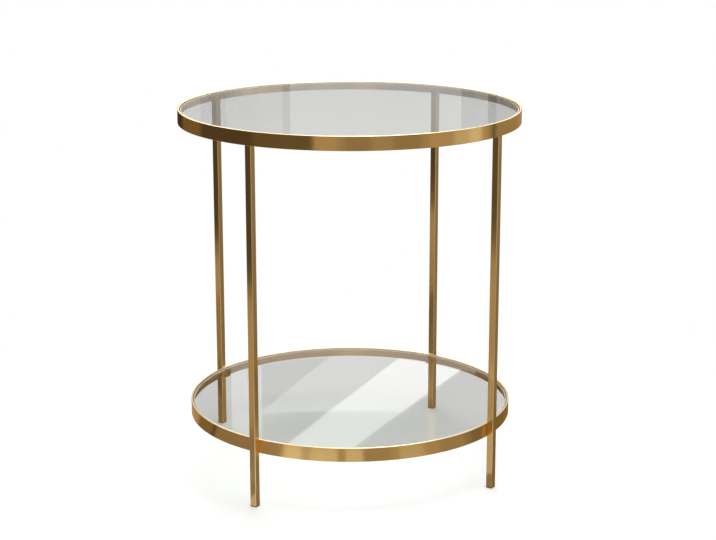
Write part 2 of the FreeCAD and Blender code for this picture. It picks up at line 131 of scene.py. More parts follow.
# Rings of cards on the floor: from radius, to radius, first angle, and each card's last angle and tone.
FLOOR_ROWS = (
    (0.02, 0.12, -110, ((10, "pale"), (250, "sand"))),
    (0.12, 0.33, -180, ((-50, "clay"),)),
    (0.12, 0.20, -50, ((10, "stone"), (180, "sand"))),
    (0.20, 0.25, -50, ((-30, "stone"),)),
    (0.25, 0.33, -50, ((-30, "pale"),)),
    (0.20, 0.33, -30, ((31, "pale"), (45, "clay"), (137, "wood"))),
    (0.20, 0.27, 137, ((180, "stone"),)),
    (0.27, 0.33, 137, ((180, "wood"),)),
    (0.33, 0.55, -180, (
        (-117, "sand"), (-98.2, "wood"), (-95.2, "night"), (-60, "clay"), (-47, "linen"), (-37, "sun"),
        (-32, "pale"), (-18, "day"), (-14, "sand"), (-5, "day"), (9, "linen"), (14, "sand"), (28, "pale"),
        (37, "sand"), (55, "linen"), (60, "stone"), (180, "wood"),
    )),
    (0.55, 1.38, -180, ((-105, "sand"),)),
    (0.55, 0.97, -105, ((-84, "clay"),)),
    (0.97, 1.38, -105, ((-84, "sand"),)),
    (0.55, 1.38, -84, ((-45, "sand"), (60, "linen"), (180, "stone"))),
)
FLOOR_CARD_HEIGHT = 0.0006

# Slanting light that the shelf glass mirrors: from angle, to angle, from height, to height, tone. The
# angles are those at height 0, and grow by the slant for each metre up.
SLANTING_LIGHT = (
    (131.8, 139.0, 0.455, 0.60, "beam"),
    (131.8, 139.0, 0.60, 0.70, "beam_low"),
    (139.0, 145.9, 0.455, 0.60, "fold_soft"),
)
SLANT = 52.4

# Low arch that the shelf glass mirrors along its rear rim: its middle angle, the angle to either side,
# the heights of its foot and of its middle, and its rise for each square degree to the sides.
ARCH_MIDDLE = 168.0
ARCH_REACH = 12.0
ARCH_FOOT = 0.44
ARCH_HEIGHT = 0.460
ARCH_RISE = 0.00024

# How much nearer a card stands than the one that it covers.
CARD_GAP = 0.01

# The plain floor, how far out it turns white, and its glow where it is seen openly and through glass.
FLOOR_RADIUS = 4.0
FLOOR_FADE = (0.38, 0.85)
FLOOR_GLOW = 0.28
FLOOR_GLOW_THROUGH = 0.06

# Soft lamps: name, place, diameter, and the setting that holds the power.
SOFTBOXES = (
    ("softbox_overhead", (0.25, -0.3, 2.3), 1.6, "softbox_power"),
    ("softbox_behind", (0.15, 1.6, 1.9), 1.7, "rim_power"),
)
LAMP_AIM = (0.0, 0.0, 0.3)


# Settings


def length_setting(name, description, default):
    """A length in metres."""
    return bpy.props.FloatProperty(
        name=name,
        description=description,
        default=default,
        min=0.0001,
        unit="LENGTH",
        precision=5,
    )


def number_setting(name, description, default, unit="NONE"):
    """A number that isn't below 0."""
    return bpy.props.FloatProperty(name=name, description=description, default=default, min=0.0, unit=unit)


def point_setting(name, description, default):
    """A point, in metres."""
    return bpy.props.FloatVectorProperty(
        name=name,
        description=description,
        default=default,
        size=3,
        subtype="TRANSLATION",
        unit="LENGTH",
    )


def colour_setting(name, description, default):
    """A colour of three numbers from 0 to 1."""
    return bpy.props.FloatVectorProperty(
        name=name,
        description=description,
        default=default,
        min=0.0,
        max=1.0,
        size=3,
        subtype="COLOR",
    )


class SideTableSizes(bpy.types.PropertyGroup):
    """The sizes that aren't read from the frame's boxes."""

    bar_thickness: length_setting("Bar thickness", "Thickness of the flat bar of both hoops", 0.003)
    bar_edge: length_setting("Bar edge", "Radius of the flat bar's rounded edges", 0.0005)
    glass_arris: length_setting("Glass arris", "Width of the bevel along a glass disc's edges", 0.0012)
    tube_side: length_setting("Tube side", "Side of the square tube in the legs", 0.010)
    tube_wall: length_setting("Tube wall", "Wall of the square tube in the legs", 0.001)
    tube_corner: length_setting("Tube corner", "Outside corner radius of the square tube", 0.001)
    shank_side: length_setting("Shank side", "Side of the shanks in the tube's ends", 0.0078)
    rest_length: length_setting("Rest length", "How far a glass rest reaches in from the top hoop", 0.0075)
    shelf_rest_length: length_setting("Shelf rest length", "The same, from the shelf hoop", 0.006)
    rest_edge: length_setting("Rest edge", "Radius of a glass rest's eased edges", 0.0006)
    weld_bead: length_setting("Weld bead", "Size of the bead where a glass rest joins its hoop", 0.0007)
    bush_length: length_setting("Bush length", "Length of the threaded bushes in the legs", 0.0075)
    bumper_diameter: length_setting("Bumper diameter", "Diameter of the bumpers under the glass", 0.005)
    screw_diameter: length_setting("Screw diameter", "Thread diameter of the countersunk screws", 0.003)
    screw_head: length_setting("Screw head", "Diameter of the countersunk screws' heads", 0.006)
    screw_land: length_setting("Head land", "Height of the straight edge round a screw's head", 0.00035)
    thread_pitch: length_setting("Thread pitch", "Climb of the screws' thread in one turn", 0.0005)
    socket_width: length_setting("Socket width", "Width across the flats of the screws' sockets", 0.002)
    socket_depth: length_setting("Socket depth", "Depth of the screws' hexagon sockets", 0.0012)


class SideTableFinishes(bpy.types.PropertyGroup):
    """The colours of the table's materials."""

    brass: colour_setting("Brass", "Colour of the polished brass", (0.76, 0.515, 0.195))
    brass_shade: colour_setting("Brass shade", "Brass where its lacquer is thickest", (0.68, 0.44, 0.17))
    # The pale brass of the rubbed edges, which is also painted on the hoops' flat rims as a highlight.
    brass_wear_and_highlight: colour_setting("Brass edge", "Brass along its rubbed edges", (0.93, 0.80, 0.58))
    glass: colour_setting("Glass", "Tint of the clear glass", (0.925, 0.94, 0.93))
    glass_edge: colour_setting("Glass edge", "Tint of the glass at its ground edge", (0.88, 0.88, 0.80))
    silicone: colour_setting("Silicone", "Tint of the clear bumpers", (0.93, 0.94, 0.93))
    nylon: colour_setting("Nylon", "Colour of the moulded feet", (0.030, 0.022, 0.016))
    steel: colour_setting("Plated steel", "Colour of the plated screws and bushes", (0.66, 0.48, 0.22))


class SideTableStudio(bpy.types.PropertyGroup):
    """The camera, floor and light."""

    camera_place: point_setting("Camera place", "Where the camera stands", (-0.5109, -2.4743, 0.9458))
    camera_aim: point_setting("Camera aim", "The point that the camera looks at", (0.0125, 0.0003, 0.2918))
    camera_lens: number_setting("Camera lens", "Focal length in mm, for a sensor 36 mm wide", 88.0)
    floor: colour_setting("Floor", "Colour of the plain floor", (0.80, 0.80, 0.80))
    fill_light: number_setting("Fill light", "Level of the soft light from all round", 0.35)
    softbox_power: number_setting("Softbox power", "Power of the lamp overhead", 31.0, "POWER")
    rim_power: number_setting("Rim light power", "Power of the lamp behind the table", 22.0, "POWER")
    surround_radius: length_setting("Surround radius", "How far from the axis the wall cards stand", 1.38)


# Materials


def put(tree, kind, inputs=(), **settings):
    """Adds a shader node. An input is fed by a socket, or set to a value."""
    node = tree.nodes.new("ShaderNode" + kind)
    for key, value in settings.items():
        setattr(node, key, value)
    for key, value in dict(inputs).items():
        if isinstance(value, bpy.types.NodeSocket):
            tree.links.new(value, node.inputs[key])
        else:
            node.inputs[key].default_value = value
    return node


def work(tree, operation, first, second=0.0, third=0.0):
    """A Math node's result."""
    return put(tree, "Math", {0: first, 1: second, 2: third}, operation=operation).outputs[0]


def remap(tree, value, low, high, to_low, to_high, **settings):
    """value carried from one range to another, held at its ends."""
    given = {"Value": value, "From Min": low, "From Max": high, "To Min": to_low, "To Max": to_high}
    return put(tree, "MapRange", given, **settings).outputs[0]


def scaled(tree, vector, *scale):
    """A vector with each of its parts multiplied."""
    return put(tree, "VectorMath", {0: vector, 1: scale}, operation="MULTIPLY").outputs[0]


def blend_colours(tree, share, first, second):
    """A mix of two colours, each a socket or three numbers."""
    node = put(tree, "Mix", data_type="RGBA")
    for key, value in ((0, share), (6, first), (7, second)):
        if isinstance(value, bpy.types.NodeSocket):
            tree.links.new(value, node.inputs[key])
        else:
            node.inputs[key].default_value = value if key == 0 else (*value, 1.0)
    return node.outputs[2]


def toned(colour, factor):
    """A colour made lighter or darker."""
    return tuple(min(1.0, c * factor) for c in colour)


def blend_shaders(tree, share, first, second):
    """A mix of two shader nodes."""
    return put(tree, "MixShader", {0: share, 1: first.outputs[0], 2: second.outputs[0]})


def new_material(name):
    """An empty node material's tree."""
    material = bpy.data.materials.new(name)
    material.use_nodes = True
    material.node_tree.nodes.clear()
    return material.node_tree


def show(tree, shader, kind="OutputMaterial"):
    """Makes a shader node the surface of its material or world."""
    tree.links.new(shader.outputs[0], put(tree, kind).inputs["Surface"])


def noise(tree, vector, scale, detail=3.0, roughness=0.5):
    """A noise value between 0 and 1."""
    given = {"Vector": vector, "Scale": scale, "Detail": detail, "Roughness": roughness}
    return put(tree, "TexNoise", given).outputs[0]


def bump(tree, height, strength, distance, normal=None):
    """A bumped normal."""
    given = {"Height": height, "Strength": strength, "Distance": distance}
    if normal is not None:
        given["Normal"] = normal
    return put(tree, "Bump", given).outputs[0]


def grain_space(tree, place, grain):
    """Object coordinates pulled long along the brushing, and the direction of the brushing.

    "hoop" runs round the table's axis, "upright" runs up a leg, and "filed" has no direction.
    """
    if grain == "filed":
        return scaled(tree, place, FILED_GRAIN, FILED_GRAIN, FILED_GRAIN), None
    if grain == "upright":
        tangent = put(tree, "CombineXYZ", {2: 1.0}).outputs[0]
        return scaled(tree, place, GRAIN_ACROSS, GRAIN_ACROSS, GRAIN_UP_LEG), tangent
    x, y, z = put(tree, "SeparateXYZ", {0: place}).outputs
    flat = put(tree, "CombineXYZ", {0: x, 1: y}).outputs[0]
    radius = put(tree, "VectorMath", {0: flat}, operation="LENGTH").outputs["Value"]
    along = work(tree, "MULTIPLY", x, GRAIN_ROUND_HOOP)
    pulled = {
        0: work(tree, "MULTIPLY_ADD", radius, GRAIN_ACROSS, along),
        1: work(tree, "MULTIPLY", y, GRAIN_ROUND_HOOP),
        2: work(tree, "MULTIPLY", z, GRAIN_ACROSS),
    }
    tangent = put(tree, "CombineXYZ", {0: work(tree, "MULTIPLY", y, -1.0), 1: x}).outputs[0]
    return put(tree, "CombineXYZ", pulled).outputs[0], tangent


def rubbed_edges_and_lit_rims(tree, grain):
    """1 on rounded edges, where the finish is rubbed bright, and for a hoop also a second mask that is 1 on
    its flat rims, where a painted highlight goes.
    """
    normal = put(tree, "NewGeometry").outputs["Normal"]
    parts = put(tree, "SeparateXYZ", {0: normal})
    x, y, z = (work(tree, "ABSOLUTE", socket) for socket in parts.outputs)
    if grain == "hoop":
        lifted = remap(tree, z, 0.10, 0.45, 0.0, 1.0)
        level = remap(tree, z, 0.93, 0.995, 1.0, 0.0)
        # The second mask is the hoop's flat rims, where the brass is painted pale as a highlight.
        return work(tree, "MULTIPLY", lifted, level), remap(tree, z, 0.6, 0.95, 0.0, 1.0)
    squarer = work(tree, "MAXIMUM", x, y)
    return remap(tree, squarer, 0.76, 0.92, 0.0, 1.0), None


# Each finish is made from its tree, object coordinates and the table's colours.


def brass_finish(tree, place, looks, grain):
    """Polished brass under clear lacquer, finely brushed along the bar, rubbed pale along its edges, and on
    a hoop's flat rims painted pale as a highlight.
    """
    vector, tangent = grain_space(tree, place, grain)
    lines = noise(tree, vector, 1.0, 2.0, 0.65)
    clouds = noise(tree, place, 9.0, 4.0, 0.55)
    specks = noise(tree, place, 520.0, 2.0, 0.6)
    edges, rim = rubbed_edges_and_lit_rims(tree, grain)
    depth = remap(tree, clouds, 0.32, 0.68, 0.0, 0.55)
    colour = blend_colours(tree, depth, looks.brass, looks.brass_shade)
    streaks = remap(tree, lines, 0.35, 0.75, 0.0, 0.22)
    colour = blend_colours(tree, streaks, colour, looks.brass_shade)
    # The pale edge colour is wear on the rounded edges and a painted highlight on a hoop's rims.
    rubbed_and_highlight = work(tree, "MULTIPLY", edges, 0.6)
    roughness = remap(tree, lines, 0.3, 0.7, 0.14, 0.20)
    roughness = work(tree, "ADD", roughness, remap(tree, clouds, 0.3, 0.7, -0.02, 0.03))
    roughness = work(tree, "ADD", roughness, remap(tree, specks, 0.62, 0.75, 0.0, 0.05))
    if rim is not None:
        # A hoop's flat rims are painted pale as a highlight, and made rougher.
        rubbed_and_highlight = work(tree, "MAXIMUM", rubbed_and_highlight, work(tree, "MULTIPLY", rim, 0.9))
        roughness = work(tree, "MULTIPLY_ADD", rim, 0.34, roughness)
    waves = noise(tree, place, 26.0, 1.0, 0.4)
    normal = bump(tree, waves, 0.35, 0.00035)
    normal = bump(tree, lines, 0.16, 0.00004, normal)
    given = {
        "Base Color": blend_colours(tree, rubbed_and_highlight, colour, looks.brass_wear_and_highlight),
        "Metallic": 1.0,
        "Specular Tint": (0.95, 0.80, 0.55, 1.0),
        "Roughness": roughness,
        "Normal": normal,
    }
    if tangent is not None:
        given["Anisotropic"] = 0.7
        given["Anisotropic Rotation"] = 0.25
        given["Tangent"] = tangent
    show(tree, put(tree, "BsdfPrincipled", given))


def show_clear(tree, given, clear):
    """A clear surface that lets lamps shine through, so that what is under it isn't in the dark."""
    shader = put(tree, "BsdfPrincipled", given)
    film = put(tree, "BsdfTransparent", {"Color": (*clear, 1.0)})
    show(tree, blend_shaders(tree, put(tree, "LightPath").outputs["Is Shadow Ray"], shader, film))


def glass_finish(tree, place, looks):
    """Polished float glass: smooth, with faint ripple and a few hairline rubs."""
    tint = blend_colours(tree, noise(tree, place, 3.0, 2.0, 0.5), looks.glass, toned(looks.glass, 0.985))
    ripple = noise(tree, place, 5.0, 1.0, 0.3)
    turned = {"Vector": place, "Rotation": (0.0, 0.0, 0.6), "Scale": (40.0, 900.0, 40.0)}
    hairs = noise(tree, put(tree, "Mapping", turned).outputs[0], 1.0, 2.0, 0.6)
    hairs = remap(tree, hairs, 0.70, 0.78, 0.0, 1.0)
    normal = bump(tree, ripple, 0.12, 0.0006)
    given = {
        "Base Color": tint,
        "Roughness": 0.0,
        "IOR": 1.5,
        "Transmission Weight": 1.0,
        "Normal": bump(tree, hairs, 0.05, 0.000004, normal),
    }
    show_clear(tree, given, looks.glass)


def ground_glass_finish(tree, place, looks):
    """The ground and polished edge of a glass disc, which shows the glass's own colour."""
    lines = noise(tree, scaled(tree, place, 60.0, 60.0, 3000.0), 1.0, 2.0, 0.6)
    patches = noise(tree, place, 24.0, 2.0, 0.5)
    given = {
        "Base Color": blend_colours(tree, patches, looks.glass_edge, toned(looks.glass_edge, 1.12)),
        "Roughness": remap(tree, lines, 0.3, 0.7, 0.36, 0.50),
        "IOR": 1.5,
        "Transmission Weight": 0.25,
        "Normal": bump(tree, lines, 0.10, 0.00003),
    }
    show_clear(tree, given, looks.glass_edge)


def silicone_finish(tree, place, looks):
    """Clear soft silicone, slightly cloudy, with a matt skin."""
    cloud = noise(tree, place, 420.0, 3.0, 0.6)
    given = {
        "Base Color": blend_colours(tree, cloud, looks.silicone, toned(looks.silicone, 0.93)),
        "Roughness": remap(tree, cloud, 0.3, 0.7, 0.10, 0.20),
        "IOR": 1.41,
        "Transmission Weight": 1.0,
        "Normal": bump(tree, noise(tree, place, 2400.0, 2.0, 0.5), 0.15, 0.00004),
    }
    show_clear(tree, given, looks.silicone)


def nylon_finish(tree, place, looks):
    """Dark moulded nylon with a fine spark-eroded grain, scuffed pale where it meets the floor."""
    grain = noise(tree, place, 2600.0, 3.0, 0.6)
    scuffs = remap(tree, noise(tree, place, 700.0, 3.0, 0.6), 0.52, 0.72, 0.0, 1.0)
    height = put(tree, "SeparateXYZ", {0: place}).outputs[2]
    near_floor = remap(tree, height, 0.0, 0.0007, 1.0, 0.0)
    worn = work(tree, "MULTIPLY", near_floor, scuffs)
    colour = blend_colours(tree, grain, looks.nylon, toned(looks.nylon, 1.5))
    given = {
        "Base Color": blend_colours(tree, worn, colour, (0.11, 0.10, 0.09)),
        "Roughness": remap(tree, grain, 0.3, 0.7, 0.42, 0.60),
        "IOR": 1.53,
        "Normal": bump(tree, grain, 0.3, 0.00005),
    }
    show(tree, put(tree, "BsdfPrincipled", given))


def steel_finish(tree, place, looks):
    """Brass-plated steel with fine tool marks and a slightly uneven plate."""
    marks = noise(tree, place, 2200.0, 2.0, 0.6)
    cloud = noise(tree, place, 180.0, 3.0, 0.5)
    given = {
        "Base Color": blend_colours(tree, cloud, looks.steel, toned(looks.steel, 0.86)),
        "Metallic": 1.0,
        "Roughness": remap(tree, marks, 0.3, 0.7, 0.26, 0.38),
        "Normal": bump(tree, marks, 0.12, 0.00003),
    }
    show(tree, put(tree, "BsdfPrincipled", given))


# Each finish's slot, and what makes it.
FINISHES = {
    "Brass Round The Hoop": ("polished_brass", brass_finish, "hoop"),
    "Brass Up The Leg": ("polished_brass", brass_finish, "upright"),
    "Brass Filed Block": ("polished_brass", brass_finish, "filed"),
    "Clear Glass": ("clear_glass", glass_finish),
    "Ground Glass Edge": ("clear_glass", ground_glass_finish),
    "Clear Silicone": ("clear_silicone", silicone_finish),
    "Dark Nylon": ("dark_nylon", nylon_finish),
    "Plated Steel": ("plated_steel", steel_finish),
}


def finish_named(name):
    """The table's material of that name, made the first time it is asked for."""
    if name not in bpy.data.materials:
        make, *kind = FINISHES[name][1:]
        tree = new_material(name)
        make(tree, put(tree, "TexCoord").outputs["Object"], bpy.context.scene.side_table_finishes, *kind)
    return bpy.data.materials[name]


# Mesh work


def bevel(bm, geometry, width, segments, affect):
    """Rounds edges or corners."""
    bmesh.ops.bevel(
        bm,
        geom=geometry,
        offset=width,
        offset_type="OFFSET",
        segments=segments,
        profile=0.5,
        affect=affect,
        material=-1,
        clamp_overlap=True,
    )


def move(bm, matrix):
    """Moves all of a bmesh."""
    bmesh.ops.transform(bm, matrix=matrix, verts=bm.verts)


def clean(bm):
    """Merges doubles and turns every face outwards."""
    bmesh.ops.remove_doubles(bm, verts=bm.verts, dist=SEAM)
    bmesh.ops.recalc_face_normals(bm, faces=bm.faces)


def sweep(bm, angle, steps, **settings):
    """Sweeps all of a bmesh round the Z axis."""
    bmesh.ops.spin(
        bm,
        geom=bm.verts[:] + bm.edges[:] + bm.faces[:],
        cent=(0.0, 0.0, 0.0),
        axis=(0.0, 0.0, 1.0),
        angle=angle,
        steps=steps,
        **settings,
    )


def object_from(bm, name):
    """An object in the scene with a bmesh's shape. The bmesh is used up."""
    mesh = bpy.data.meshes.new(name)
    bm.to_mesh(mesh)
    bm.free()
    made = bpy.data.objects.new(name, mesh)
    bpy.context.scene.collection.objects.link(made)
    return made


def spun(outline, steps, rounding=0.0, rounded=(), segments=3):
    """A solid turned about Z from a closed outline of (radius, height) corners, some of them rounded."""
    bm = bmesh.new()
    corners = [bm.verts.new((radius, 0.0, height)) for radius, height in outline]
    bm.faces.new(corners)
    if rounded:
        bevel(bm, [corners[i] for i in rounded], rounding, segments, "VERTICES")
    bmesh.ops.delete(bm, geom=bm.faces[:], context="FACES_ONLY")
    on_axis = [e for e in bm.edges if all(abs(v.co.x) < SEAM for v in e.verts)]
    bmesh.ops.delete(bm, geom=on_axis, context="EDGES")
    sweep(bm, math.tau, steps, use_merge=True)
    clean(bm)
    return bm


def square_loop(bm, side, corner, height, segments):
    """A rounded square of edges, with its face."""
    turn = Matrix.Rotation(math.pi / 4, 4, "Z")
    made = bmesh.ops.create_circle(
        bm,
        cap_ends=True,
        segments=4,
        radius=side / math.sqrt(2),
        matrix=Matrix.Translation((0.0, 0.0, height)) @ turn,
    )
    bevel(bm, made["verts"], corner, segments, "VERTICES")


def extruded(bm, faces, move_by, base=False):
    """Extrudes faces, keeps the old ones if they are the base, and gives the new faces and their corners."""
    made = bmesh.ops.extrude_face_region(bm, geom=faces)["geom"]
    if not base:
        bmesh.ops.delete(bm, geom=faces, context="FACES_ONLY")
    verts = [g for g in made if isinstance(g, bmesh.types.BMVert)]
    bmesh.ops.translate(bm, verts=verts, vec=move_by)
    return [g for g in made if isinstance(g, bmesh.types.BMFace)], verts


def raised(bm, faces, height, base=False):
    """Extrudes faces straight up, and gives the new faces."""
    return extruded(bm, faces, (0.0, 0.0, height), base)[0]


def block(low, high, edge=0.0, segments=3):
    """A box from corner to corner, with all its edges rounded if it has an edge radius."""
    bm = bmesh.new()
    bmesh.ops.create_cube(bm, size=1.0)
    size = Vector(high) - Vector(low)
    middle = (Vector(high) + Vector(low)) / 2
    bmesh.ops.scale(bm, vec=size, verts=bm.verts)
    bmesh.ops.translate(bm, vec=middle, verts=bm.verts)
    if edge:
        bevel(bm, bm.edges[:], edge, segments, "EDGES")
    return bm


def combined(first, second, operation):
    """One clean solid from two, joined ("UNION") or cut ("DIFFERENCE"). Both bmeshes are used up."""
    parts = [object_from(bm, "part") for bm in (first, second)]
    modifier = parts[0].modifiers.new("Join or cut", "BOOLEAN")
    modifier.operation = operation
    modifier.solver = "EXACT"
    modifier.object = parts[1]
    bpy.context.view_layer.update()
    result = bmesh.new()
    result.from_object(parts[0], bpy.context.evaluated_depsgraph_get())
    for part in parts:
        mesh = part.data
        bpy.data.objects.remove(part)
        bpy.data.meshes.remove(mesh)
    return result


def round_bar(diameter, depth, sides=32):
    """An upright bar with its middle at the origin."""
    bm = bmesh.new()
    radius = diameter / 2
    bmesh.ops.create_cone(bm, cap_ends=True, segments=sides, radius1=radius, radius2=radius, depth=depth)
    return bm


def drill(start, depth, diameter, axis):
    """A drill for cutting a round hole: from start along axis, as deep as depth."""
    turn = Vector((0.0, 0.0, 1.0)).rotation_difference(Vector(axis)).to_matrix().to_4x4()
    bm = round_bar(diameter, depth)
    move(bm, Matrix.Translation(start) @ turn @ Matrix.Translation((0.0, 0.0, depth / 2)))
    return bm


def place_piece(bm, name, node, *finishes, body=FRAME_BODY):
    """Turns a finished bmesh into a piece that rides on a body, in place of its CAD node."""
    clean(bm)
    bad = [e for e in bm.edges if not e.is_manifold]
    if bad:
        raise RuntimeError(f"{name}: {len(bad)} of its edges are open")
    for face in bm.faces:
        face.smooth = True
    piece = object_from(bm, name)
    piece.data.set_sharp_from_angle(angle=math.radians(50))
    for finish in finishes:
        piece.data.materials.append(finish_named(finish))
    shading = piece.modifiers.new("Flat faces stay flat", "WEIGHTED_NORMAL")
    shading.keep_sharp = True
    shading.weight = 100
    check_place(piece, node)
    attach(piece, body)
    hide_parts(node)


def check_place(piece, node):
    """Stops if a piece isn't where its CAD node is."""
    low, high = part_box(node)
    points = [v.co for v in piece.data.vertices]
    for axis in range(3):
        off_low = min(p[axis] for p in points) - low[axis]
        off_high = max(p[axis] for p in points) - high[axis]
        if max(abs(off_low), abs(off_high)) > PLACE_TOLERANCE:
            raise RuntimeError(f"{piece.name} is off along axis {axis}: {off_low:.5f}, {off_high:.5f}")


# Places read from the frame


def node_levels(node):
    """The heights of a CAD node's underside and top."""
    low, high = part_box(node)
    return low.z, high.z


def node_height(node):
    """The height of a CAD node's middle."""
    return sum(node_levels(node)) / 2


def node_radius(node):
    """The radius of a round CAD node, never more than its box."""
    low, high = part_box(node)
    return min(-low.x, -low.y, high.x, high.y)


def node_reach(node):
    """How far the middle of a CAD node is from the table's axis."""
    low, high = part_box(node)
    return ((low + high) / 2).xy.length


def inner_radius(tier):
    """The inside radius of a hoop."""
    return node_radius(f"{tier}_hoop") - bpy.context.scene.side_table_sizes.bar_thickness


def to_corner(corner, *place):
    """Carries +X out from the table's axis to a leg, from a place on it if one is given."""
    low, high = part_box("leg_" + corner)
    middle = (low + high) / 2
    turn = Matrix.Rotation(math.atan2(middle.y, middle.x), 4, "Z")
    return turn @ Matrix.Translation(place) if place else turn


# Pieces


def make_hoop(name, node):
    """A hoop of flat bar on edge, closed in one ring."""
    sizes = bpy.context.scene.side_table_sizes
    outer = node_radius(node)
    inner = outer - sizes.bar_thickness
    bottom, top = node_levels(node)
    outline = ((inner, bottom), (outer, bottom), (outer, top), (inner, top))
    bm = spun(outline, HOOP_STEPS, sizes.bar_edge, (0, 1, 2, 3), 4)
    place_piece(bm, name, node, "Brass Round The Hoop")


def make_disc(name, node, body):
    """A glass disc with a ground arris along both edges."""
    bottom, top = node_levels(node)
    bm = bmesh.new()
    place = Matrix.Translation((0.0, 0.0, bottom))
    bmesh.ops.create_circle(bm, cap_ends=True, segments=DISC_STEPS, radius=node_radius(node), matrix=place)
    raised(bm, bm.faces[:], top - bottom, base=True)
    level = [e for e in bm.edges if abs(e.verts[0].co.z - e.verts[1].co.z) < SEAM]
    corners = [e for e in level if len(e.link_faces) == 2]
    bevel(bm, corners, bpy.context.scene.side_table_sizes.glass_arris, 1, "EDGES")
    clean(bm)
    for face in bm.faces:
        face.material_index = 0 if abs(face.normal.z) > 0.99 else 1
    place_piece(bm, name, node, "Clear Glass", "Ground Glass Edge", body=body)


def make_leg(corner):
    """A leg of square tube, with its hole for the bush."""
    sizes = bpy.context.scene.side_table_sizes
    node = "leg_" + corner
    bottom, top = node_levels(node)
    bore = sizes.tube_side - 2 * sizes.tube_wall
    bm = bmesh.new()
    square_loop(bm, sizes.tube_side, sizes.tube_corner, height=bottom, segments=6)
    square_loop(bm, bore, corner=0.0002, height=bottom, segments=6)
    bmesh.ops.delete(bm, geom=bm.faces[:], context="FACES_ONLY")
    bmesh.ops.bridge_loops(bm, edges=bm.edges[:])
    raised(bm, bm.faces[:], top - bottom, base=True)
    clean(bm)
    drill_from = -0.007
    start = (drill_from, 0.0, node_height("leg_bush_" + corner))
    hole = drill(start, depth=0.005, diameter=0.0061, axis=(1.0, 0.0, 0.0))
    bm = combined(bm, hole, "DIFFERENCE")
    move(bm, to_corner(corner, node_reach(node), 0.0, 0.0))
    place_piece(bm, f"{node}_tube", node, "Brass Up The Leg")


def make_foot(corner):
    """A moulded foot: a flange under the tube, and a ribbed stem that grips inside it."""
    sizes = bpy.context.scene.side_table_sizes
    node = "foot_" + corner
    bottom, top = node_levels(node)
    flange = node_levels("leg_" + corner)[0] - bottom
    chamfer = 0.0005
    relief = 0.0004
    ribs = 5
    stem = sizes.shank_side
    groove = stem - 0.0012
    sole = sizes.tube_side - 2 * chamfer
    bm = bmesh.new()
    square_loop(bm, sole, corner=0.0007, height=bottom, segments=4)
    lid = raised(bm, bm.faces[:], chamfer, base=True)
    widen = sizes.tube_side / sole
    bmesh.ops.scale(bm, vec=(widen, widen, 1.0), verts=lid[0].verts)
    lid = raised(bm, lid, flange - chamfer)
    shoulder = (sizes.tube_side - stem) / 2 + relief
    bmesh.ops.inset_region(bm, faces=lid, thickness=shoulder, use_even_offset=True)
    rise = (top - bottom - flange) / (2 * ribs)
    for rib in range(ribs):
        rib_width = stem if rib < ribs - 1 else groove
        for width, share in ((rib_width, 0.35), (rib_width, 0.65), (groove, 0.35), (groove, 0.65)):
            lid = raised(bm, lid, rise * share)
            factor = width / (max(v.co.x for v in lid[0].verts) * 2)
            bmesh.ops.scale(bm, vec=(factor, factor, 1.0), verts=lid[0].verts)
    move(bm, to_corner(corner, node_reach("leg_" + corner), 0.0, 0.0))
    place_piece(bm, f"{node}_plug", node, "Dark Nylon")


def screw_solid(length):
    """A countersunk socket screw with a real thread, its head's face at the origin and its point below."""
    sizes = bpy.context.scene.side_table_sizes
    pitch = sizes.thread_pitch
    radius = sizes.screw_diameter / 2
    core = radius - 0.6 * pitch
    root = core - 0.0002
    collar = radius - 0.0001
    collar_length = 0.0004
    run_out = 0.0007
    head = sizes.screw_head / 2
    tip = 0.0005
    neck = sizes.screw_land + (head - radius)
    outline = (
        (0.0, 0.0),
        (head, 0.0),
        (head, -sizes.screw_land),
        (collar, -neck),
        (collar, -neck - collar_length),
        (core, -neck - run_out),
        (core, -length + tip),
        (core - tip, -length),
        (0.0, -length),
    )
    shank = spun(outline, 48)
    thread = bmesh.new()
    start = -length + 0.0003
    turns = int((length - neck - 0.001) / pitch)
    steps = 24
    ridge = ((root, 0.0), (radius, 0.42), (radius, 0.58), (root, 1.0))
    thread.faces.new([thread.verts.new((r, 0.0, start + share * pitch)) for r, share in ridge])
    sweep(thread, math.tau * turns, steps * turns, dvec=(0.0, 0.0, pitch / steps))
    clean(thread)
    solid = combined(shank, thread, "UNION")
    across_corners = 2 * sizes.socket_width / math.sqrt(3)
    return combined(solid, round_bar(across_corners, 2 * sizes.socket_depth, 6), "DIFFERENCE")


def make_screws(node, length, place):
    """The screws of one tier, each carried by a matrix to its place on the line out to its leg."""
    bm = bmesh.new()
    for corner in CORNERS:
        screw = screw_solid(length)
        move(screw, to_corner(corner) @ place)
        mesh = bpy.data.meshes.new("part")
        screw.to_mesh(mesh)
        screw.free()
        bm.from_mesh(mesh)
        bpy.data.meshes.remove(mesh)
    place_piece(bm, f"{node}_set", node, "Plated Steel")


def make_top_screws():
    """The upright screws that hold the top rests down on the legs' brackets."""
    bottom, top = node_levels("top_screws")
    reach = node_reach("top_bumper_" + CORNERS[0])
    make_screws("top_screws", top - bottom, Matrix.Translation((reach, 0.0, top)))


def make_shelf_screws():
    """The level screws that hold the shelf hoop to the bushes in the legs."""
    sizes = bpy.context.scene.side_table_sizes
    inner = inner_radius("shelf") - sizes.shelf_rest_length
    short_of_bush = 0.0005
    length = sizes.shelf_rest_length + sizes.bar_thickness + sizes.bush_length - short_of_bush
    lie = Matrix.Rotation(-math.pi / 2, 4, "Y")
    make_screws("shelf_screws", length, Matrix.Translation((inner, 0.0, node_height("shelf_screws"))) @ lie)


